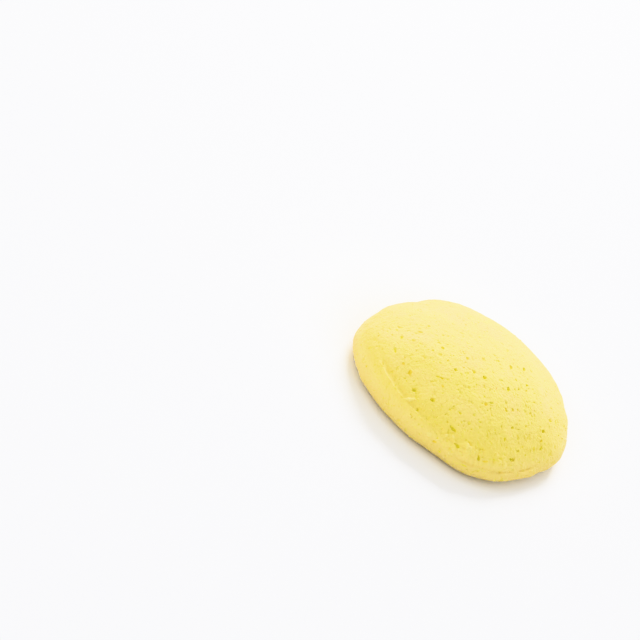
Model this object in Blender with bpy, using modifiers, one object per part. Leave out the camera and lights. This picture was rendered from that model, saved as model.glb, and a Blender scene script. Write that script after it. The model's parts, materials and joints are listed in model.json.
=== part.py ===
# One plain shortbread biscuit: a flat round of dough that has baked into a low dome with an open crumb.
# It lies on its flat base, the middle of which is the origin, and its longer way is along X.
# Lengths are in millimetres and angles in degrees; MM turns a length into metres.

import math
import random

import bmesh
import bpy
from mathutils import Matrix, Vector, noise
from mathutils.bvhtree import BVHTree

MM = 0.001
UP = Vector((0, 0, 1))

# Seen from above: a round, a little longer than wide, with slow waves round its edge
PLAN_RADIUS = 24.3
PLAN_WAVES = (  # waves round the edge, depth as a share of the radius, direction of a crest
    (2, 0.0431, 0.0),
    (3, 0.0177, 23.5),
    (4, 0.0200, -25.4),
    (5, 0.0057, 13.3),
    (6, 0.0072, 14.9),
)

# Seen from the side: a rounded lower edge up to the widest level, a leaning wall, then the dome
HEIGHT = 12.8
WIDEST_LEVEL = 2.54
SHOULDER_LEVEL = 6.23
SHOULDER_LEAN = 1.42  # how far the shoulder rises towards its high side, and drops opposite
HIGH_SIDE = 95.0
SHOULDER_SAG = 0.95  # how much further it has slumped towards one side
SAG_SIDE = 280.0
SAG_WIDTH = 42.0
FOOT_SHARE = 0.823  # where the flat base ends, as a share of the plan's radius
SHOULDER_SHARE = 0.943
WALL_POWER = 1.5
DOME_POWER = 2.3

# How finely the blank is turned
SIDES = 96
DOME_RINGS = 17
DOME_CROWDING = 1.4  # above 1 the rings crowd towards the shoulder
WALL_RINGS = 5
EDGE_RINGS = 5

# Low relief: lumps all over, and the torn lip that stands along one stretch of the shoulder
LUMPS = ((9.0, 0.24), (4.2, 0.12))  # size across, height
LIP_HEIGHT = 0.38
LIP_SHARE = 0.930
LIP_WIDTH = 0.014
LIP_FROM, LIP_TO = 178.0, 214.0
LIP_BREAK = 199.5
LIP_BREAK_WIDTH = 2.5
GROOVE_DEPTH = 0.25
GROOVE_SHARE = 0.890
GROOVE_WIDTH = 0.020

# The lower edge is pinched in on one side, and the wall creased under the shoulder along another
PINCH_DEPTH = 0.75
PINCH_SIDE = 226.0
PINCH_WIDTH = 13.0
CREASE_DEPTH = 0.32
CREASE_SHARE = 0.959
CREASE_WIDTH = 0.012
CREASE_FROM, CREASE_TO = 240.0, 282.0

# The larger pits of the crumb: x, y, length, width, direction of the length
LARGE_PITS = (
    (-14.0, -5.0, 1.9, 1.1, -30),
    (-17.0, -9.0, 1.2, 1.0, 40),
    (-1.5, -12.5, 1.7, 1.1, -60),
    (-6.5, -11.0, 1.3, 0.9, 0),
    (-19.0, -1.5, 1.4, 0.9, -20),
    (-19.5, 1.0, 0.9, 0.8, 0),
    (-20.0, 4.0, 1.2, 0.8, 80),
    (-17.5, 7.0, 1.0, 0.8, 20),
    (-15.5, 5.0, 0.9, 0.7, 60),
    (-19.8, -5.6, 1.5, 0.9, 10),
    (-10.5, -3.5, 0.9, 0.8, 45),
    (-4.5, -5.0, 1.3, 0.8, 25),
    (8.0, -2.0, 1.3, 1.0, 70),
    (-11.0, 2.5, 0.9, 0.8, 0),
    (-14.0, -15.2, 2.6, 0.9, -75),
    (-3.0, -17.6, 1.1, 0.8, 0),
    (8.0, -17.7, 1.1, 0.9, 30),
    (-1.4, -20.6, 1.6, 0.8, 5),
    (-9.5, -20.3, 2.8, 1.0, -25),
    (12.0, -12.0, 1.1, 0.8, 50),
    (0.6, -7.7, 1.0, 0.7, 85),
    (-11.8, -12.7, 1.2, 0.8, -60),
)
PIT_DEPTH = 0.75  # of a pit's width
LARGE_PIT_FROM = 1.25  # a pit at least this long is cut with a rounder tool

# The smaller pits, scattered by a seeded rule
SEED = 41
SMALL_PITS = 112
SMALL_PIT_SIZES = (0.5, 0.95)
PIT_GAP = 0.4
PIT_REACH = 0.93  # no scattered pit beyond this share of the plan's radius
OPEN_SIDE = 238.0  # the crumb is most open on this side
OPEN_SIDE_PULL = 0.55

CRUST_COLOUR = (0.93, 0.83, 0.36, 1.0)
CRUST_ROUGHNESS = 0.85


def clear_scene():
    for obj in list(bpy.data.objects):
        bpy.data.objects.remove(obj, do_unlink=True)


def new_collection(name):
    collection = bpy.data.collections.new(name)
    bpy.context.scene.collection.children.link(collection)
    return collection


def bell(offset, width):
    """1 in the middle of a soft band, falling to 0 outside it."""
    return math.exp(-((offset / width) ** 2))


def soft_step(value, low, high):
    """0 below low, 1 above high, and smooth between them."""
    share = min(max((value - low) / (high - low), 0.0), 1.0)
    return share * share * (3 - 2 * share)


def between(turn, first, last, fade=4.0):
    """1 from one direction to another, in degrees, fading over a few degrees at both ends."""
    return soft_step(turn, first - fade, first) * (1 - soft_step(turn, last, last + fade))


def plan_radius(turn):
    """From the middle to the widest edge, in one direction."""
    waves = (depth * math.cos(math.radians(count * (turn - crest))) for count, depth, crest in PLAN_WAVES)
    return PLAN_RADIUS * (1 + sum(waves))


def direction_of(point):
    return math.degrees(math.atan2(point.y, point.x)) % 360


def turn_between(turn, side):
    """From one direction to another the short way round, between -180 and 180."""
    return (turn - side + 180) % 360 - 180


def section_points():
    """The section as (share of the radius, height), from the top of the dome to the middle of the base."""
    points = []
    for ring in range(DOME_RINGS + 1):
        inward = (1 - ring / DOME_RINGS) ** DOME_CROWDING
        rise = 1 - (1 - inward) ** DOME_POWER
        points.append((SHOULDER_SHARE * (1 - inward), SHOULDER_LEVEL + (HEIGHT - SHOULDER_LEVEL) * rise))
    for ring in range(1, WALL_RINGS + 1):
        upward = 1 - ring / WALL_RINGS
        share = 1 - (1 - SHOULDER_SHARE) * upward**WALL_POWER
        points.append((share, WIDEST_LEVEL + (SHOULDER_LEVEL - WIDEST_LEVEL) * upward))
    for ring in range(1, EDGE_RINGS + 1):
        swing = (1 - ring / EDGE_RINGS) * math.pi / 2
        share = FOOT_SHARE + (1 - FOOT_SHARE) * math.sin(swing)
        points.append((share, WIDEST_LEVEL * (1 - math.cos(swing))))
    points.append((0.0, 0.0))
    return points


def turned_blank(collection):
    """The even round that the section makes when it is turned, as a mesh in metres."""
    points = [(share * PLAN_RADIUS * MM, 0, height * MM) for share, height in section_points()]
    line = [(i, i + 1) for i in range(len(points) - 1)]
    outline = bpy.data.meshes.new("section")
    outline.from_pydata(points, line, [])
    section = bpy.data.objects.new("section", outline)
    collection.objects.link(section)
    screw = section.modifiers.new("turn", "SCREW")
    screw.steps = SIDES
    screw.render_steps = SIDES
    screw.use_merge_vertices = True
    screw.merge_threshold = 0.00001
    graph = bpy.context.evaluated_depsgraph_get()
    blank = bpy.data.meshes.new_from_object(section.evaluated_get(graph))
    bpy.data.objects.remove(section)
    return blank


def settled(point):
    """A point of the even round, in millimetres, moved to the uneven plan and the leaning shoulder."""
    turn = direction_of(point)
    scale = plan_radius(turn) / PLAN_RADIUS
    lean = SHOULDER_LEAN * math.cos(math.radians(turn - HIGH_SIDE))
    lean -= SHOULDER_SAG * bell(turn_between(turn, SAG_SIDE), SAG_WIDTH)
    if point.z > SHOULDER_LEVEL:
        lean *= (HEIGHT - point.z) / (HEIGHT - SHOULDER_LEVEL)
    else:
        lean *= max(point.z - WIDEST_LEVEL, 0) / (SHOULDER_LEVEL - WIDEST_LEVEL)
    return Vector((point.x * scale, point.y * scale, point.z + lean))


def relief(point):
    """How far the finished surface stands out from the settled one at a point, in millimetres."""
    turn = direction_of(point)
    share = math.hypot(point.x, point.y) / plan_radius(turn)
    height = sum(size * noise.noise(point / across) for across, size in LUMPS)
    height *= soft_step(point.z, 0.0, WIDEST_LEVEL)
    if point.z > WIDEST_LEVEL:
        along_lip = between(turn, LIP_FROM, LIP_TO) * (1 - bell(turn - LIP_BREAK, LIP_BREAK_WIDTH))
        height += LIP_HEIGHT * along_lip * bell(share - LIP_SHARE, LIP_WIDTH)
        height -= GROOVE_DEPTH * along_lip * bell(share - GROOVE_SHARE, GROOVE_WIDTH)
        creased = between(turn, CREASE_FROM, CREASE_TO)
        height -= CREASE_DEPTH * creased * bell(share - CREASE_SHARE, CREASE_WIDTH)
    return height


def pinched(point):
    """A point moved inwards where the lower edge is pinched, and left alone above the shoulder."""
    lower = 1 - soft_step(point.z, WIDEST_LEVEL, SHOULDER_LEVEL)
    inwards = PINCH_DEPTH * lower * bell(turn_between(direction_of(point), PINCH_SIDE), PINCH_WIDTH)
    spread = math.hypot(point.x, point.y)
    scale = 1 - inwards / spread if spread > PLAN_RADIUS / 2 else 1
    return Vector((point.x * scale, point.y * scale, point.z))


def formed_dough(blank):
    """The biscuit before its pits are cut, as a bmesh in metres over the middle of its base."""
    dough = bmesh.new()
    dough.from_mesh(blank)
    for vert in dough.verts:
        vert.co = settled(vert.co / MM)
    dough.normal_update()
    raised = [vert.co + vert.normal * relief(vert.co) for vert in dough.verts]
    for vert, point in zip(dough.verts, raised):
        vert.co = pinched(point) * MM
    middle = Vector()
    for axis in (0, 1):
        places = [vert.co[axis] for vert in dough.verts]
        middle[axis] = (min(places) + max(places)) / 2
    bmesh.ops.translate(dough, vec=-middle, verts=dough.verts)
    dough.normal_update()
    return dough


def scattered_pits():
    """The large pits and a seeded scatter of small ones between them, none closer than the gap."""
    draw = random.Random(SEED)
    pits = list(LARGE_PITS)
    open_turn = math.radians(OPEN_SIDE)
    while len(pits) < len(LARGE_PITS) + SMALL_PITS:
        turn = draw.uniform(0, 2 * math.pi)
        share = PIT_REACH * math.sqrt(draw.random())
        openness = 1 - OPEN_SIDE_PULL * (1 - share * math.cos(turn - open_turn)) / 2
        length = draw.uniform(*SMALL_PIT_SIZES)
        width = length * draw.uniform(0.7, 1.0)
        heading = draw.uniform(0, 180)
        keep = draw.random() < openness
        reach = share * plan_radius(math.degrees(turn))
        x, y = reach * math.cos(turn), reach * math.sin(turn)
        clear = all(math.hypot(x - pit[0], y - pit[1]) > (length + pit[2]) / 2 + PIT_GAP for pit in pits)
        if keep and clear:
            pits.append((x, y, length, width, heading))
    return pits


def pit_cutters(dough, collection):
    """One mesh of rounded tools, each set square to the crust over its pit."""
    crust = BVHTree.FromBMesh(dough)
    tools = bmesh.new()
    for x, y, length, width, heading in scattered_pits():
        place, normal, _, _ = crust.ray_cast(Vector((x, y, 2 * HEIGHT)) * MM, -UP)
        along = Matrix.Rotation(math.radians(heading), 3, "Z") @ Vector((1, 0, 0))
        side = normal.cross(along).normalized()
        turned = Matrix((side.cross(normal), side, normal)).transposed().to_4x4()
        size = Matrix.Diagonal((length / 2 * MM, width / 2 * MM, width * PIT_DEPTH * MM, 1))
        matrix = Matrix.Translation(place) @ turned @ size
        splits = 2 if length >= LARGE_PIT_FROM else 1
        bmesh.ops.create_icosphere(tools, subdivisions=splits, radius=1, matrix=matrix)
    mesh = bpy.data.meshes.new("pit tools")
    tools.to_mesh(mesh)
    tools.free()
    cutter = bpy.data.objects.new("pit tools", mesh)
    cutter.hide_render = True
    cutter.display_type = "WIRE"
    collection.objects.link(cutter)
    return cutter


def crust_material():
    material = bpy.data.materials.new("baked crust")
    material.use_nodes = True
    shader = material.node_tree.nodes["Principled BSDF"]
    shader.inputs["Base Color"].default_value = CRUST_COLOUR
    shader.inputs["Roughness"].default_value = CRUST_ROUGHNESS
    shader.inputs["Metallic"].default_value = 0.0
    return material


def main():
    clear_scene()
    parts = new_collection("shortbread biscuit")
    helpers = new_collection("cutters")
    dough = formed_dough(turned_blank(parts))
    cutter = pit_cutters(dough, helpers)

    mesh = bpy.data.meshes.new("biscuit")
    dough.to_mesh(mesh)
    dough.free()
    mesh.shade_smooth()
    mesh.materials.append(crust_material())
    biscuit = bpy.data.objects.new("biscuit", mesh)
    parts.objects.link(biscuit)
    pits = biscuit.modifiers.new("pits", "BOOLEAN")
    pits.operation = "DIFFERENCE"
    pits.object = cutter


main()
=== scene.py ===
import itertools
import json
import math

import bmesh
import bpy
import numpy as np
from mathutils import Matrix, Vector, noise

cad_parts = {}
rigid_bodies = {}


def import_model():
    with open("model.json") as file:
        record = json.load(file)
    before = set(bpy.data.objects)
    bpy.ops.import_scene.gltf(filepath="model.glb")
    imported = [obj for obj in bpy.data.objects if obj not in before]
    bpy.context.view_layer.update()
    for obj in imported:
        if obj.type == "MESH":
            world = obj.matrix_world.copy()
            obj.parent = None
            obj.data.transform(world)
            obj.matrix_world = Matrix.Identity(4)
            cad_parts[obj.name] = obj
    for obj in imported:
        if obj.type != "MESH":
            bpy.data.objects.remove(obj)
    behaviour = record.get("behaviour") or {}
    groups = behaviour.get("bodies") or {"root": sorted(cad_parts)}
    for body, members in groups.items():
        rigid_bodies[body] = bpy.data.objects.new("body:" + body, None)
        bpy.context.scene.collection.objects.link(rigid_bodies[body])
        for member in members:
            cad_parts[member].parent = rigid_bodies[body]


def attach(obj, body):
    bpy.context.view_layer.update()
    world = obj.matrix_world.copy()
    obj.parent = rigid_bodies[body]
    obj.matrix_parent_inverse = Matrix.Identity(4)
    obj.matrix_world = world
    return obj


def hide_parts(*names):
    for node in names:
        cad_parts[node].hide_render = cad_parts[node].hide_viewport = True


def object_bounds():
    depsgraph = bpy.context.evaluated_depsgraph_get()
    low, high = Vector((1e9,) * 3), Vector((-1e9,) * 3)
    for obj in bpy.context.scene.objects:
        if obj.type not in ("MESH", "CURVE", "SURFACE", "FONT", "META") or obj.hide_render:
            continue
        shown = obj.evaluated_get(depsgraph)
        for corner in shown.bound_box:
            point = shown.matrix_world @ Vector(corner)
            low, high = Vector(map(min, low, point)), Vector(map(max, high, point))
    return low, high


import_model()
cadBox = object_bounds()

mm = 0.001
scene = bpy.context.scene
for old in [o for o in bpy.data.objects if o.type in {"LIGHT", "CAMERA"} or o.name == "Cube"]:
    bpy.data.objects.remove(old, do_unlink=True)


def newObject(name, data):
    made = bpy.data.objects.new(name, data)
    scene.collection.objects.link(made)
    return made


# The mesh of a bmesh, which is freed
def meshFrom(made, name):
    mesh = bpy.data.meshes.new(name)
    made.to_mesh(mesh)
    made.free()
    return mesh


# A copy of the mesh with one modifier applied
def modified(mesh, kind, **settings):
    held = newObject("held", mesh)
    modifier = held.modifiers.new("modifier", kind)
    for name, value in settings.items():
        setattr(modifier, name, value)
    graph = bpy.context.evaluated_depsgraph_get()
    made = bpy.data.meshes.new_from_object(held.evaluated_get(graph))
    bpy.data.objects.remove(held)
    return made


# Shapes over an angle or a length, for one number or a whole array

def bell(offset, width):
    return np.exp(-((offset / width) ** 2))


def softStep(value, low, high):
    share = np.clip((value - low) / (high - low), 0, 1)
    return share * share * (3 - 2 * share)


def turnBetween(turn, side):
    return (turn - side + 180) % 360 - 180


def stretch(turn, first, last, fade):
    return softStep(turn, first - fade, first) * (1 - softStep(turn, last, last + fade))


# Soft random relief from -1 to 1, with lumps about across wide, on a lattice that starts far away
def lumpy(points, across, seed, cells=32, away=500.5):
    lattice = np.random.default_rng(seed).uniform(-1, 1, (cells, cells, cells))
    place = points / across + away
    cell = np.floor(place).astype(np.int64)
    part = place - cell
    part = part * part * (3 - 2 * part)
    total = np.zeros(len(points))
    for corner in itertools.product((0, 1), repeat=3):
        weight = np.ones(len(points))
        for axis in range(3):
            weight *= part[:, axis] if corner[axis] else 1 - part[:, axis]
        at = (cell + corner) % cells
        total += weight * lattice[at[:, 0], at[:, 1], at[:, 2]]
    return total


# An even value with rows of such lumps added to it: across, strength, seed
def lumpyOver(points, even, rows):
    return sum((strength * lumpy(points, across, seed) for across, strength, seed in rows), even)


# Rounded grains from 0 to 1, with sharp gaps between them
def grainy(points, across, seed, fullness=2.2):
    return np.minimum(1, fullness * np.abs(lumpy(points, across, seed)))


# The dough's own form, in millimetres and degrees
dough = {
    "planRadius": 24.3,
    "planWaves": (                # how many, their depth as a share of the radius, the side of a crest
        (2, 0.0431, 0.0), (3, 0.0177, 23.5), (4, 0.0200, -25.4), (5, 0.0057, 13.3), (6, 0.0072, 14.9),
    ),
    "middle": (0.13, -0.30),      # of the plan's box, which becomes the origin
    "height": 12.8,
    "widestLevel": 2.54,
    "shoulderLevel": 6.23,
    "shoulderLean": 1.42, "highSide": 95.0,
    "shoulderSag": 0.95, "sagSide": 280.0, "sagWidth": 42.0,
    "footShare": 0.823,
    "shoulderShare": 0.943,
    "wallPower": 1.5,
    "domePower": 2.3,
    "pinchDepth": 0.75, "pinchSide": 226.0, "pinchWidth": 13.0,
    "lumps": ((9.0, 0.24), (4.2, 0.12)),      # across, height
    "steepFrom": 0.8,             # share of the radius from where the lumps push outwards, not up
    "sectionSteps": 60,           # in each of the section's three parts
    "topShare": 0.88,             # the cage's square top reaches this far out
    "cuts": 55,                   # along each side of the cage
    "rows": 15,                   # down its side
    "smoothing": 3,
}


def planRadius(turn):
    waves = sum(depth * math.cos(math.radians(count * (turn - crest)))
                for count, depth, crest in dough["planWaves"])
    return dough["planRadius"] * (1 + waves)


# The even section as (share of the radius, height), from the middle of the top down to the foot
def sectionLine():
    steps = dough["sectionSteps"]
    shoulder, level, top = dough["shoulderShare"], dough["shoulderLevel"], dough["height"]
    line = []
    for i in range(steps + 1):
        out = i / steps
        line.append((shoulder * out, level + (top - level) * (1 - out ** dough["domePower"])))
    for i in range(1, steps + 1):
        up = 1 - i / steps
        share = 1 - (1 - shoulder) * up ** dough["wallPower"]
        line.append((share, dough["widestLevel"] + (level - dough["widestLevel"]) * up))
    foot = dough["footShare"]
    for i in range(1, steps + 1):
        swing = (1 - i / steps) * math.pi / 2
        line.append((foot + (1 - foot) * math.sin(swing), dough["widestLevel"] * (1 - math.cos(swing))))
    return np.array(line)


# A point of the section, along it from the edge of the cage's top at 0 to the foot at 1
def onSection(line, along):
    steps = np.hypot(*(np.diff(line, axis=0) * (dough["planRadius"], 1)).T)
    way = np.concatenate(([0], np.cumsum(steps)))
    dome = dough["sectionSteps"] + 1
    start = np.interp(dough["topShare"], line[:dome, 0], way[:dome])
    place = start + along * (way[-1] - start)
    return float(np.interp(place, way, line[:, 0])), float(np.interp(place, way, line[:, 1]))


# A cube with fine faces: its top becomes the dome, its sides the wall and its underside the base
def doughCage():
    cage = bmesh.new()
    bmesh.ops.create_cube(cage, size=2)
    level = [e for e in cage.edges if abs(e.verts[0].co.z - e.verts[1].co.z) < 1]
    bmesh.ops.subdivide_edges(cage, edges=level, cuts=dough["cuts"], use_grid_fill=True)
    upright = [e for e in cage.edges if abs(e.verts[0].co.z - e.verts[1].co.z) > 1]
    bmesh.ops.subdivide_edges(cage, edges=upright, cuts=dough["rows"], use_grid_fill=True)
    line = sectionLine()
    for vert in cage.verts:
        vert.co = settled(evenPlace(vert.co, line)) * mm
    bmesh.ops.recalc_face_normals(cage, faces=cage.faces)
    return cage


# A point of the cube taken to the even round
def evenPlace(point, line):
    reach = max(abs(point.x), abs(point.y))
    if abs(point.x) >= abs(point.y):
        turn = math.pi / 4 * point.y / point.x if reach else 0.0
        turn += math.pi if point.x < 0 else 0
    else:
        turn = math.pi / 2 - math.pi / 4 * point.x / point.y
        turn += math.pi if point.y < 0 else 0
    flush = 1 - 1e-5              # the level of the cube's top, less what rounding takes
    if point.z > flush:
        share = reach * dough["topShare"]
        dome = line[:dough["sectionSteps"] + 1]
        height = float(np.interp(share, dome[:, 0], dome[:, 1]))
    elif point.z < -flush:
        share, height = reach * dough["footShare"], 0.0
    else:
        share, height = onSection(line, (1 - point.z) / 2)
    radius = share * dough["planRadius"]
    return Vector((radius * math.cos(turn), radius * math.sin(turn), height))


# A point of the even round moved to the uneven plan, the leaning shoulder, the low lumps and the pinch
def settled(point):
    turn = math.degrees(math.atan2(point.y, point.x)) % 360
    scale = planRadius(turn) / dough["planRadius"]
    lean = dough["shoulderLean"] * math.cos(math.radians(turn - dough["highSide"]))
    lean -= dough["shoulderSag"] * bell(turnBetween(turn, dough["sagSide"]), dough["sagWidth"])
    if point.z > dough["shoulderLevel"]:
        lean *= (dough["height"] - point.z) / (dough["height"] - dough["shoulderLevel"])
    else:
        lean *= max(point.z - dough["widestLevel"], 0) / (dough["shoulderLevel"] - dough["widestLevel"])
    moved = Vector((point.x * scale, point.y * scale, point.z + lean))
    swell = sum(size * noise.noise(moved / across) for across, size in dough["lumps"])
    swell *= softStep(moved.z, 0.0, dough["widestLevel"])
    lower = 1 - softStep(moved.z, dough["widestLevel"], dough["shoulderLevel"])
    pinch = dough["pinchDepth"] * lower * bell(turnBetween(turn, dough["pinchSide"]), dough["pinchWidth"])
    spread = math.hypot(moved.x, moved.y)
    outward = Vector((moved.x, moved.y, 0)) / spread if spread > 1 else Vector()
    steep = softStep(spread / (scale * dough["planRadius"]), dough["steepFrom"], 1.0)
    moved += (outward * steep + Vector((0, 0, 1 - steep))) * swell
    if spread > dough["planRadius"] / 2:
        moved -= outward * pinch
    return moved - Vector((*dough["middle"], 0))


print("dough: shaping the cage")
smooth = dough["smoothing"]
fine = modified(meshFrom(doughCage(), "cage"), "SUBSURF", levels=smooth, render_levels=smooth)
print("dough: faces", len(fine.polygons))


# The crust's relief. A row of lumps, ripples or grains is across, height or strength, and seed
crust = {
    "upperFade": 0.4,             # above the widest level, where lip, crease and crags begin
    "wander": 0.007,              # of the lip and the crease to either side
    "wanderLumps": (2.4, 12),                                     # across, seed
    "lips": ((177.0, 197.0), (203.0, 211.0)), "lipFade": 3.0,     # first and last turn of each
    "lipHeight": 0.40, "lipShare": 0.930, "lipWidth": 0.009,
    "lipEven": 0.95, "lipLumps": ((0.9, 0.4, 11), (0.4, 0.35, 14)),
    "grooveDepth": 0.24, "grooveShare": 0.897, "grooveWidth": 0.020,
    "creaseFrom": 238.0, "creaseTo": 284.0, "creaseFade": 4.0,
    "creaseDepth": 0.42, "creaseShare": 0.959, "creaseWidth": 0.009,
    "creaseEven": 0.6, "creaseLumps": ((2.2, 0.6, 13),),
    "layers": ((4.7, 0.20, 34), (3.7, 0.15, 35), (2.6, 0.10, 36)),      # cracks: level, depth, seed
    "layerWidth": 0.16, "layerWander": 0.55, "layerAcross": 3.4,
    "layerSide": 262.0, "layerSpread": 38.0, "layerElsewhere": 0.45,
    "layerRim": (0.93, 0.96),     # only from here outwards
    "layerGaps": ((1.9, 1.0, 3), (0.7, 0.4, 6)),                 # the last is added to the crack's seed
    "layerOpen": (-0.1, 0.5),
    "roughFrom": 0.02, "roughTo": 0.6,        # a level, and a share of the widest level
    "ripples": ((3.2, 0.070, 20), (1.5, 0.025, 21)),
    "rimRipples": ((3.6, 0.15, 43), (1.7, 0.07, 44)),            # only near the outline
    "rimFrom": 0.84, "rimTo": 0.95, "rimSink": 0.4,
    "grains": ((1.2, 0.040, 25), (0.62, 0.048, 26), (0.36, 0.038, 27)),
    "grainSink": 0.6,
    "bubbles": ((1.15, 0.68, 0.19, 60), (0.62, 0.64, 0.14, 70)),  # across, where they start, depth, seed
    "bubbleSoft": 0.45,
    "bubbleParts": (1, 2, 4),     # lumps this many times smaller make them ragged
    # bubbleMark: how much of the pits' painted shade the bubble holes take
    "bubbleMark": 0.42,           # of a pit's colour in them
    "openSide": 238.0,            # where the crumb is roughest
    "openRough": 0.65, "shutRough": 0.55, "openFade": (-0.7, 0.8),
    "craggyFrom": 224.0, "craggyTo": 262.0, "craggyFade": 10.0,
    "craggyShare": 0.90, "craggyWidth": 0.060, "craggyHeight": 0.29,
    "craggyLumps": (2.2, 31), "craggyGrains": (1.1, 32), "craggySink": 0.6,      # across, seed
}
# The pit mark carries painted shade in the hollows; toast and crumb are the crust's own colour
markNames = ("pit", "toast", "crumb")         # where the crust's colour changes


def readPoints(mesh):
    points = np.empty(len(mesh.vertices) * 3, np.float32)
    mesh.vertices.foreach_get("co", points)
    normals = np.empty(len(mesh.vertices) * 3, np.float32)
    mesh.vertex_normals.foreach_get("vector", normals)
    return points.reshape(-1, 3).astype(np.float64) / mm, normals.reshape(-1, 3).astype(np.float64)


def writePoints(mesh, points):
    mesh.vertices.foreach_set("co", (points * mm).ravel().astype(np.float32))
    mesh.update()


# The turn of each point, and how far out it lies as a share of the plan's radius there
def planShares(points):
    placed = points[:, :2] + dough["middle"]
    turn = np.degrees(np.arctan2(placed[:, 1], placed[:, 0])) % 360
    waves = sum(depth * np.cos(np.radians(count * (turn - crest)))
                for count, depth, crest in dough["planWaves"])
    return turn, np.hypot(*placed.T) / (dough["planRadius"] * (1 + waves))


# Lip, groove and crease by the shoulder, as a height over the smooth surface
def lipAndCrease(points, turn, share):
    astray = share + crust["wander"] * lumpy(points, *crust["wanderLumps"])
    lip = sum(stretch(turn, first, last, crust["lipFade"]) for first, last in crust["lips"])
    lip = lip * np.clip(lumpyOver(points, crust["lipEven"], crust["lipLumps"]), 0, None)
    height = crust["lipHeight"] * lip * bell(astray - crust["lipShare"], crust["lipWidth"])
    height -= crust["grooveDepth"] * lip * bell(astray - crust["grooveShare"], crust["grooveWidth"])
    crease = stretch(turn, crust["creaseFrom"], crust["creaseTo"], crust["creaseFade"])
    crease = crease * lumpyOver(points, crust["creaseEven"], crust["creaseLumps"])
    return height - crust["creaseDepth"] * crease * bell(astray - crust["creaseShare"], crust["creaseWidth"])


# Cuts the broken cracks that run along the wall into the height
def cutCracks(height, points, turn, share):
    elsewhere = crust["layerElsewhere"]
    layered = bell(turnBetween(turn, crust["layerSide"]), crust["layerSpread"])
    layered = (elsewhere + (1 - elsewhere) * layered) * softStep(share, *crust["layerRim"])
    for level, depth, seed in crust["layers"]:
        offset = points[:, 2] - level - crust["layerWander"] * lumpy(points, crust["layerAcross"], seed)
        gaps = [(across, size, seed + more) for across, size, more in crust["layerGaps"]]
        broken = softStep(lumpyOver(points, 0, gaps), *crust["layerOpen"])
        height -= depth * layered * broken * bell(offset, crust["layerWidth"])


# The whole relief as a height over the smooth surface, and how much of the pits' painted shade its bubbles
# take
def crustRelief(points):
    turn, share = planShares(points)
    level = points[:, 2]
    upper = softStep(level, dough["widestLevel"], dough["widestLevel"] + crust["upperFade"])
    height = lipAndCrease(points, turn, share) * upper
    cutCracks(height, points, turn, share)
    above = softStep(level, crust["roughFrom"], dough["widestLevel"] * crust["roughTo"])
    for across, size, seed in crust["ripples"]:
        height += above * size * lumpy(points, across, seed)
    rim = above * softStep(share, crust["rimFrom"], crust["rimTo"])
    for across, size, seed in crust["rimRipples"]:
        height += rim * size * (lumpy(points, across, seed) - crust["rimSink"])
    lean = np.cos(np.radians(turn - crust["openSide"])) * np.clip(share, 0, 1)
    above = above * (crust["shutRough"] + crust["openRough"] * softStep(lean, *crust["openFade"]))
    for across, size, seed in crust["grains"]:
        height += above * size * (grainy(points, across, seed) - crust["grainSink"])
    bubbles = np.zeros(len(points))
    for across, start, depth, seed in crust["bubbles"]:
        ragged = sum(lumpy(points, across / part, seed + part) / part for part in crust["bubbleParts"])
        hole = softStep(-ragged, start, start + crust["bubbleSoft"])
        height -= above * depth * hole
        # Bubble holes take part of the pits' painted shade
        bubbles = np.maximum(bubbles, np.clip(above, 0, 1) * hole * crust["bubbleMark"])
    craggy = stretch(turn, crust["craggyFrom"], crust["craggyTo"], crust["craggyFade"]) * upper
    craggy = craggy * bell(share - crust["craggyShare"], crust["craggyWidth"])
    crags = lumpy(points, *crust["craggyLumps"]) + grainy(points, *crust["craggyGrains"])
    height += crust["craggyHeight"] * craggy * (crags - crust["craggySink"])
    return height, bubbles


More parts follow.
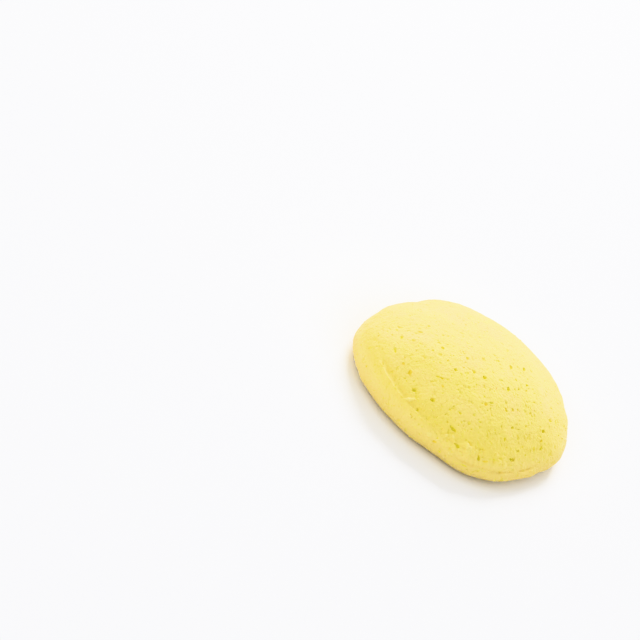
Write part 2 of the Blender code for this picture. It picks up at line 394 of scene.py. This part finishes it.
# Pits of the crumb. Each placed one is x, y, length, width and the direction of the length
pits = {
    "placed": {
        "deep": (
            (-14.2, -4.3, 0.7, 0.5, -30), (-13.6, -4.7, 1.0, 0.6, -30), (-1.1, -12.2, 1.0, 0.7, -59),
            (-13.7, -14.7, 1.7, 0.7, -64), (-0.3, -20.4, 1.5, 0.8, -6), (-16.5, -8.7, 1.0, 0.8, -63),
        ),
        "clear": (
            (-17.8, 6.6, 1.2, 0.7, 59), (-20.2, 3.6, 1.4, 0.6, 63), (-10.6, 2.6, 0.8, 0.8, -30),
            (-6.3, -0.5, 0.7, 0.7, -1), (-20.1, -3.5, 0.4, 0.4, 77), (-10.2, -3.3, 0.8, 0.7, 60),
            (-6.2, -4.0, 0.7, 0.7, 24), (-19.2, -5.7, 1.0, 0.9, 64), (4.5, -1.9, 1.3, 0.9, 62),
            (8.4, -1.8, 1.4, 0.9, 43), (-4.2, -5.4, 1.0, 0.9, -33), (7.1, -5.9, 1.1, 0.7, 12),
            (6.4, -7.3, 0.9, 0.5, 11), (0.9, -7.7, 1.4, 0.6, 69), (-4.4, -10.9, 0.8, 0.5, -1),
            (-13.6, -11.2, 0.7, 0.4, 79), (0.9, -11.9, 0.8, 0.8, 6), (-11.8, -12.2, 1.0, 0.6, -54),
            (-8.0, -14.4, 1.0, 0.5, -4), (0.1, -15.1, 0.9, 0.7, 30), (12.5, -12.0, 1.2, 0.7, 6),
            (9.4, -14.5, 1.0, 0.8, 10), (8.6, -17.4, 1.0, 0.7, 70), (-2.3, -17.4, 0.8, 0.7, 85),
            (-13.1, -17.8, 1.0, 0.8, -66), (-11.5, -20.7, 1.6, 0.3, -28), (-8.8, -20.2, 1.0, 0.8, 85),
            (-19.3, -9.7, 0.7, 0.6, 4), (-15.5, -17.2, 0.6, 0.5, -36),
        ),
        "toasted": (
            (-19.7, 0.2, 0.7, 0.6, 74), (-19.0, -2.0, 1.1, 0.8, 61), (-5.9, -11.1, 0.8, 0.8, -42),
            (8.6, -16.3, 1.1, 0.6, 8), (-7.3, -21.0, 1.5, 0.4, -10), (-16.6, -15.6, 0.9, 0.6, -41),
        ),
        "faint": (
            (-12.5, 13.2, 1.3, 0.5, 61), (-10.6, 9.2, 0.9, 0.7, 61), (-13.3, 7.4, 1.1, 0.9, -7),
            (-16.0, 5.2, 1.0, 0.9, 3), (-15.6, 3.5, 0.6, 0.4, -11), (-4.0, 5.8, 1.3, 0.4, 45),
            (-9.2, 0.3, 0.5, 0.5, 65), (-14.1, -0.8, 0.5, 0.5, -12), (-12.9, -1.2, 0.7, 0.5, -83),
            (-15.1, -2.2, 0.5, 0.3, 73), (-18.9, -5.9, 0.4, 0.4, 77), (-8.6, -7.4, 0.8, 0.6, -5),
            (-10.9, -7.6, 0.6, 0.4, 74), (-14.3, -7.8, 0.6, 0.5, -11), (6.2, 2.9, 1.6, 0.7, 58),
            (1.3, -0.7, 0.9, 0.7, 6), (-2.4, -0.6, 0.8, 0.8, 6), (-2.7, -3.4, 1.4, 0.5, 44),
            (-9.4, -4.3, 0.5, 0.4, -5), (4.1, -7.4, 0.9, 0.5, 8), (-4.0, -8.2, 0.7, 0.6, 0),
            (-0.4, -5.9, 1.1, 0.5, 5), (7.8, -9.5, 1.0, 0.5, 10), (-13.2, -10.0, 0.5, 0.4, 76),
            (-11.5, -9.4, 0.5, 0.4, -75), (-11.9, -14.0, 0.6, 0.5, -67), (-9.0, -13.0, 0.6, 0.5, 78),
            (-4.6, -15.9, 0.6, 0.4, 0), (-3.0, -15.2, 0.6, 0.4, 4), (4.1, -14.5, 0.8, 0.7, 23),
            (7.1, -12.3, 0.9, 0.5, 86), (6.2, -17.9, 0.9, 0.9, 7), (2.8, -18.0, 0.7, 0.7, 23),
            (-8.9, -18.1, 1.4, 0.5, -87), (-8.6, -21.9, 0.6, 0.4, -7), (-8.2, -19.6, 0.9, 0.4, -5),
            (-19.0, -8.1, 0.6, 0.4, -57), (-19.1, -11.7, 0.5, 0.4, -29), (-16.8, -12.7, 0.6, 0.4, -17),
            (-19.8, -12.3, 0.8, 0.3, -65), (-14.8, -16.4, 0.6, 0.4, -16), (-12.0, -16.5, 0.7, 0.4, -84),
            (-5.4, -20.6, 1.7, 0.5, -8), (-3.6, -20.5, 1.1, 0.5, -8),
        ),
    },
    "depths": {"deep": 0.65, "clear": 0.5, "toasted": 0.32, "faint": 0.26},   # of the width
    "seed": 41,
    # The scattered ones: how many, shortest, longest, gap between them, depth as a share of the width
    "onTop": ((70, 0.40, 0.70, 0.25, 0.34), (450, 0.20, 0.42, 0.03, 0.36)),
    "onWall": (220, 0.2, 0.55, 0.05, 0.34),
    "onBase": (260, 0.3, 0.9, 0.2, 0.30),
    "widths": (0.6, 1.0), "depthSpread": (0.6, 1.3),
    "reach": 0.95,
    "wallFrom": 0.6, "wallShare": 0.98,       # lowest level, and how far out
    "openPull": 0.40,             # how many fewer lie on the shut side of the top
    "toastedShare": 0.07, "toasts": (0.4, 1.0),
    "ragged": ((0.55, 0.30, 51), (0.26, 0.22, 52)),              # across, strength, seed
    "cupPower": 0.8,
    "rimHeight": 0.045,           # share of the pit's width
    "rimPlace": 1.25, "rimWidth": 0.22,       # 1 is the way from the pit's middle to its edge
    # Deeper pits take more of the painted shade in their colour
    "fullDepth": 0.5,             # from this depth they take their whole colour
    "markTo": 0.7, "toastTo": 0.5,            # share of the cup where it is reached
}


# Every pit as place, length, width, heading, depth and toast
def allPits(spots):
    found = []
    for kind, listed in pits["placed"].items():
        for x, y, length, width, heading in listed:
            toast = 1.0 if kind == "toasted" else 0.0
            found.append((seatOn(spots, x, y), length, width, heading, pits["depths"][kind], toast))
    draw = np.random.default_rng(pits["seed"])
    for count, low, high, gap, depth in pits["onTop"]:
        scatterOnTop(found, spots, draw, count, (low, high, gap, depth))
    count, *sizes = pits["onWall"]
    scatter(found, spots, draw, count, sizes, wallPlace)
    count, *sizes = pits["onBase"]
    scatter(found, spots, draw, count, sizes, basePlace)
    return found


def scatterOnTop(found, spots, draw, count, sizes):
    wanted = len(found) + count
    while len(found) < wanted:
        turn, share = draw.uniform(0, 360), pits["reach"] * math.sqrt(draw.random())
        lean = share * math.cos(math.radians(turn - crust["openSide"]))
        if draw.random() < 1 - pits["openPull"] * (1 - lean) / 2:
            x, y = planPlace(turn, share)
            addPit(found, draw, seatOn(spots, x, y), sizes)


def scatter(found, spots, draw, count, sizes, placeFor):
    wanted = len(found) + count
    while len(found) < wanted:
        addPit(found, draw, nearest(spots, placeFor(draw)), sizes)


def planPlace(turn, share):
    reach = share * planRadius(turn)
    x, y = reach * math.cos(math.radians(turn)), reach * math.sin(math.radians(turn))
    return x - dough["middle"][0], y - dough["middle"][1]


def wallPlace(draw):
    level = draw.uniform(pits["wallFrom"], dough["shoulderLevel"])
    return np.array((*planPlace(draw.uniform(0, 360), pits["wallShare"]), level))


def basePlace(draw):
    return np.array((*planPlace(draw.uniform(0, 360), dough["footShare"] * math.sqrt(draw.random())), 0.0))


# A pit is only kept where it is clear of the others
def addPit(found, draw, place, sizes):
    low, high, gap, depth = sizes
    length = draw.uniform(low, high)
    width, heading = length * draw.uniform(*pits["widths"]), draw.uniform(-90, 90)
    toast = draw.uniform(*pits["toasts"]) if draw.random() < pits["toastedShare"] else 0.0
    depth = depth * draw.uniform(*pits["depthSpread"])
    if all(np.abs(place - p[0]).max() > (length + p[1]) / 2 + gap for p in found):
        found.append((place, length, width, heading, depth, toast))


# The surface's points in order of x, for quick finding
def sortedSpots(points):
    order = np.argsort(points[:, 0])
    return order, points[order]


def nearPlace(spots, place, reach):
    order, ordered = spots
    first, last = np.searchsorted(ordered[:, 0], (place[0] - reach, place[0] + reach))
    near = first + np.flatnonzero(np.abs(ordered[first:last, 1:] - place[1:]).max(axis=1) < reach)
    return order[near], ordered[near]


# The upper surface's point over x and y
def seatOn(spots, x, y, reach=0.3):
    ordered = spots[1]
    first, last = np.searchsorted(ordered[:, 0], (x - reach, x + reach))
    near = ordered[first:last][ordered[first:last, 2] > dough["widestLevel"]]
    return near[np.argmin(np.hypot(near[:, 0] - x, near[:, 1] - y))]


def nearest(spots, place, reach=1.5):
    near = nearPlace(spots, place, reach)[1]
    return near[np.argmin(np.linalg.norm(near - place, axis=1))]


# Raised bits of crumb. Each placed one is x, y, level, length, width, direction and how far it stands up
crumbs = {
    "placed": (
        (-20.2, -7.2, 6.1, 2.0, 0.8, -15, 0.34), (-15.1, -15.6, 5.9, 0.8, 0.7, 0, 0.26),
        (-11.0, -18.8, 5.5, 1.6, 1.1, 10, 0.32), (-4.4, -23.3, 2.0, 0.9, 0.7, 0, 0.20),
        (19.0, -10.5, 4.8, 0.7, 0.6, 0, 0.30), (-9.6, -19.0, 5.3, 0.9, 0.6, 40, 0.20),
        (-13.9, -16.2, 6.2, 0.8, 0.5, -50, 0.18), (-17.7, -14.3, 4.4, 1.4, 0.9, -40, 0.16),
    ),
    "seed": 52,
    "count": 150,                 # scattered: every third one by the rim of the top, the others on the wall
    "sizes": (0.25, 0.6), "widths": (0.6, 1.0),
    "height": 0.16, "heightSpread": (0.5, 1.2),
    "rim": (0.75, 0.95),          # shares of the radius
    "power": 0.6,
    "clearOfBase": (0.1, 0.8),    # levels where crumbs and the rims of pits begin
}


def allCrumbs(spots):
    found = []
    for x, y, z, length, width, heading, height in crumbs["placed"]:
        found.append((nearest(spots, np.array((x, y, z))), length, width, heading, height))
    draw = np.random.default_rng(crumbs["seed"])
    for i in range(crumbs["count"]):
        length = draw.uniform(*crumbs["sizes"])
        turn, share = draw.uniform(0, 360), draw.uniform(*crumbs["rim"])
        place = nearest(spots, wallPlace(draw)) if i % 3 else seatOn(spots, *planPlace(turn, share))
        height = crumbs["height"] * length / crumbs["sizes"][1] * draw.uniform(*crumbs["heightSpread"])
        found.append((place, length, length * draw.uniform(*crumbs["widths"]), draw.uniform(-90, 90), height))
    return found


# The points near a place, and how far they lie from it, where 1 is the edge of its ragged oval
def ovalAround(spots, normals, ragged, oval):
    place, length, width, heading = oval
    index, near = nearPlace(spots, place, 0.8 * length + 0.1)     # a little past the edge
    out = normals[index[np.argmin(np.linalg.norm(near - place, axis=1))]]
    along = np.array((math.cos(math.radians(heading)), math.sin(math.radians(heading)), 0.0))
    side = np.cross(out, along)
    side /= np.linalg.norm(side)
    along = np.cross(side, out)
    offset = near - place
    return index, np.hypot(offset @ along / (length / 2), offset @ side / (width / 2)) * ragged[index]


def raiseTo(values, index, least):
    values[index] = np.maximum(values[index], least)


# Gives the smooth mesh its relief, its pits and crumbs, and the marks that its colours follow, the painted
# shade of the pits among them
def dressSurface(mesh):
    points, normals = readPoints(mesh)
    height, bubbles = crustRelief(points)
    writePoints(mesh, points + normals * height[:, None])
    points, normals = readPoints(mesh)
    spots = sortedSpots(points)
    ragged = lumpyOver(points, 1, pits["ragged"])
    hollow, rim, rise = (np.zeros(len(points)) for _ in range(3))
    marks = {name: np.zeros(len(points)) for name in markNames}
    # The bubbles' painted shade starts the pit mark
    marks["pit"] += bubbles
    for *oval, depth, toast in allPits(spots):
        width = oval[2]
        index, distance = ovalAround(spots, normals, ragged, oval)
        cup = np.clip(1 - distance ** 2, 0, None) ** pits["cupPower"]
        raiseTo(hollow, index, depth * width * cup)
        raiseTo(rim, index, pits["rimHeight"] * width * bell(distance - pits["rimPlace"], pits["rimWidth"]))
        # Painted shade in the pit, stronger the deeper the pit
        raiseTo(marks["pit"], index, min(1, depth / pits["fullDepth"]) * softStep(cup, 0, pits["markTo"]))
        raiseTo(marks["toast"], index, toast * softStep(cup, 0, pits["toastTo"]))
    for *oval, stand in allCrumbs(spots):
        index, distance = ovalAround(spots, normals, ragged, oval)
        lump = np.clip(1 - distance ** 2, 0, None) ** crumbs["power"]
        raiseTo(rise, index, stand * lump)
        raiseTo(marks["crumb"], index, lump)
    loose = softStep(points[:, 2], *crumbs["clearOfBase"])
    points = points + normals * ((rim + rise) * loose - hollow)[:, None]
    points = np.clip(points, np.array(cadBox[0]) / mm, np.array(cadBox[1]) / mm)
    writePoints(mesh, points)
    for name, values in marks.items():
        attribute = mesh.attributes.new(name, "FLOAT", "POINT")
        attribute.data.foreach_set("value", values.astype(np.float32))


print("crust: relief, pits and crumbs")
dressSurface(fine)

thinning = {"mostTriangles": 194000}

print("crust: thinning the flat faces")
kept = thinning["mostTriangles"] / (2 * len(fine.polygons))       # each face is two triangles
surface = modified(fine, "DECIMATE", ratio=kept)
surface.name = "shortbread_round"
surface.shade_smooth()
biscuit = newObject("shortbread_round", surface)
print("crust: triangles", sum(len(p.vertices) - 2 for p in surface.polygons))


# A socket that takes part in sums: + - and * add the Math nodes, and add makes any other node
class Wire:
    def __init__(self, tree, socket=None):
        self.tree = tree
        self.socket = socket

    def add(self, kind, settings=None, out=0, **sockets):
        node = self.tree.nodes.new(kind)
        for name, value in (settings or {}).items():
            setattr(node, name, value)
        for name, value in sockets.items():
            key = int(name[1:]) if name[1:].isdigit() else name.replace("_", " ")
            if isinstance(value, Wire):
                self.tree.links.new(value.socket, node.inputs[key])
            else:
                node.inputs[key].default_value = value
        return Wire(self.tree, node.outputs[out])

    def sum(self, operation, first, second):
        return self.add("ShaderNodeMath", {"operation": operation}, s0=first, s1=second)

    def __add__(self, other):
        return self.sum("ADD", self, other)

    def __radd__(self, other):
        return self.sum("ADD", other, self)

    def __sub__(self, other):
        return self.sum("SUBTRACT", self, other)

    def __rsub__(self, other):
        return self.sum("SUBTRACT", other, self)

    def __mul__(self, other):
        return self.sum("MULTIPLY", self, other)

    def __rmul__(self, other):
        return self.sum("MULTIPLY", other, self)

    def ramp(self, low, high):
        settings = {"interpolation_type": "SMOOTHSTEP"}
        return self.add("ShaderNodeMapRange", settings, Value=self, From_Min=low, From_Max=high)

    def mix(self, first, second):
        return self.add("ShaderNodeMix", {"data_type": "RGBA"}, 2, s0=self, s6=first, s7=second)

    def speckle(self, scale, detail):
        return self.add("ShaderNodeTexNoise", Vector=self, Scale=scale, Detail=detail, Roughness=0.6)


def newMaterial(name, values):
    material = bpy.data.materials.new(name)
    material.use_nodes = True
    shader = material.node_tree.nodes["Principled BSDF"]
    for socket, value in values.items():
        shader.inputs[socket].default_value = value
    return material, shader


# Colours, noises as scale and detail, and the levels in metres between which a colour changes
crustLook = {
    "top": (0.865, 0.73, 0.158, 1),
    "pale": (0.885, 0.725, 0.195, 1),         # in patches on the top
    # The lower dome's deeper yellow: partly the baked colour, partly painted shade
    "warmAndShaded": (0.865, 0.705, 0.142, 1),         # where the dome starts
    # Pit colour, darker and deeper yellow: painted shade in pits, bubble holes and pores
    "pit": (0.79, 0.71, 0.070, 1),
    "toast": (0.86, 0.66, 0.065, 1),
    # The upper wall's paler colour: partly its own peach tone, partly painted light
    "edge": (0.93, 0.76, 0.215, 1),
    # The lower wall's darker, browner colour: partly baked browning, partly painted shade
    "low": (0.67, 0.48, 0.115, 1),
    "base": (0.74, 0.50, 0.12, 1),
    "crumb": (0.90, 0.77, 0.24, 1),
    "mottle": (520.0, 4.0), "blotch": (130.0, 3.0), "speck": (1900.0, 3.0), "grit": (3600.0, 4.0),
    "cells": 2900.0,
    "poreMottle": 0.4, "poreSpeck": 0.6, "poreRange": (0.555, 0.68),
    "paleRange": (0.42, 0.66),
    "levelBlotch": 0.002,         # how far the blotches shift the next two levels
    "domeLevels": (0.0062, 0.0115), "edgeLevels": (0.0045, 0.0075),
    "lowLevels": (0.0008, 0.0053), "lowEven": 0.45, "lowBlotch": 0.75,
    "baseLevels": (0.0001, 0.0006), "baseEven": 0.5, "baseMottle": 0.5,
    "poreShare": 0.6, "crumbShare": 0.7, "pitShare": 0.9, "toastShare": 0.9,
    "shadeEven": 0.86, "shadeMottle": 0.16, "shadeBlotch": 0.12,
    "cellBump": 0.5, "poreBump": 0.8, "bump": 0.8, "bumpHeight": 0.00014,
    "shader": {
        "Roughness": 0.92, "Specular IOR Level": 0.35, "Sheen Weight": 0.18,
        "Subsurface Weight": 0.06, "Subsurface Radius": (1.0, 0.7, 0.25), "Subsurface Scale": 0.0012,
    },
}


def crustMaterial():
    look = crustLook
    material, shader = newMaterial("bakedCrust", look["shader"])
    start = Wire(material.node_tree)
    where = start.add("ShaderNodeTexCoord", out=3)                    # Object coordinates
    level = start.add("ShaderNodeSeparateXYZ", out=2, Vector=where)
    pit, toast, crumb = (start.add("ShaderNodeAttribute", {"attribute_name": n}, 2) for n in markNames)
    mottle, blotch, speck = (where.speckle(*look[name]) for name in ("mottle", "blotch", "speck"))
    pore = (look["poreMottle"] * mottle + look["poreSpeck"] * speck).ramp(*look["poreRange"])
    top = blotch.ramp(*look["paleRange"]).mix(look["top"], look["pale"])
    shifted = level + look["levelBlotch"] * blotch
    # The lower dome is mixed toward that deeper yellow, partly painted shade
    dome = shifted.ramp(*look["domeLevels"]).mix(look["warmAndShaded"], top)
    # The upper wall is made lighter: partly its own colour, partly painted light
    colour = shifted.ramp(*look["edgeLevels"]).mix(look["edge"], dome)
    # The lower wall is made darker and browner: partly baked browning, partly painted shade
    low = (1 - level.ramp(*look["lowLevels"])) * (look["lowEven"] + look["lowBlotch"] * blotch)
    colour = low.mix(colour, look["low"])
    base = (1 - level.ramp(*look["baseLevels"])) * (look["baseEven"] + look["baseMottle"] * mottle)
    colour = base.mix(colour, look["base"])
    # Fine pores take the pits' painted shade
    colour = (look["poreShare"] * pore).mix(colour, look["pit"])
    # Crumbs and toasted spots take their own colours, the pits their painted shade
    for name, mark in (("crumb", crumb), ("pit", pit), ("toast", toast)):
        colour = (mark * look[name + "Share"]).mix(colour, look[name])
    shade = look["shadeEven"] + look["shadeMottle"] * mottle + look["shadeBlotch"] * blotch
    colour = start.add("ShaderNodeVectorMath", {"operation": "SCALE"}, Vector=colour, Scale=shade)
    material.node_tree.links.new(colour.socket, shader.inputs["Base Color"])
    cells = start.add("ShaderNodeTexVoronoi", Vector=where, Scale=look["cells"])
    rough = where.speckle(*look["grit"]) + look["cellBump"] * cells - look["poreBump"] * pore
    bump = start.add("ShaderNodeBump", Height=rough, Strength=look["bump"], Distance=look["bumpHeight"])
    material.node_tree.links.new(bump.socket, shader.inputs["Normal"])
    return material


surface.materials.append(crustMaterial())
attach(biscuit, "root")
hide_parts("biscuit")


floorLook = {
    "size": 3.0,
    "level": -0.03,               # in millimetres, so that it doesn't run into the base
    "shader": {"Base Color": (0.91, 0.91, 0.93, 1), "Roughness": 0.6},
}


def floor():
    made = bmesh.new()
    below = Matrix.Translation((0, 0, floorLook["level"] * mm))
    bmesh.ops.create_grid(made, x_segments=1, y_segments=1, size=floorLook["size"], matrix=below)
    mesh = meshFrom(made, "floor")
    mesh.materials.append(newMaterial("paleFloor", floorLook["shader"])[0])
    newObject("floor", mesh)


# Lens and place of the camera, in millimetres, and the way its frame is turned
eye = {
    "lens": 85, "sensor": 36,
    "nearest": 0.01,              # in metres, as Blender counts it
    "place": (-201.39, -169.70, 170.36),
    "right": (0.8193, -0.3410, 0.4609),
    "up": (-0.0945, 0.7125, 0.6952),
}


def camera():
    made = bpy.data.cameras.new("camera")
    made.lens = eye["lens"]
    made.sensor_width = eye["sensor"]
    made.clip_start = eye["nearest"]
    held = newObject("camera", made)
    right, up = Vector(eye["right"]).normalized(), Vector(eye["up"]).normalized()
    back = right.cross(up)
    turned = Matrix((right, back.cross(right), back)).transposed().to_4x4()
    held.matrix_world = Matrix.Translation(Vector(eye["place"]) * mm) @ turned
    scene.camera = held


# Each light's direction from the biscuit, its watts, and its size and distance in metres
studio = {
    "sky": 1.0,
    "key": (0.52, 0.73, 0.45), "keyPower": 49.0, "keySize": 0.6, "keyAway": 1.2,
    "fill": (-0.90, 0.35, 0.28), "fillPower": 4.6, "fillSize": 0.9, "fillAway": 1.1,
}


def softLight(name, towards, power, size, away):
    made = bpy.data.lights.new(name, "AREA")
    made.energy = power
    made.size = size
    held = newObject(name, made)
    way = Vector(towards).normalized()
    held.location = way * away
    held.rotation_euler = way.to_track_quat("Z", "Y").to_euler()


def sky():
    world = bpy.data.worlds.new("studio")
    world.use_nodes = True
    back = world.node_tree.nodes["Background"]
    back.inputs["Color"].default_value = (1, 1, 1, 1)
    back.inputs["Strength"].default_value = studio["sky"]
    scene.world = world


print("studio: floor, camera and lights")
floor()
camera()
sky()
for light in ("key", "fill"):
    softLight(light, studio[light], *(studio[light + part] for part in ("Power", "Size", "Away")))
scene.view_settings.view_transform = "Khronos PBR Neutral"
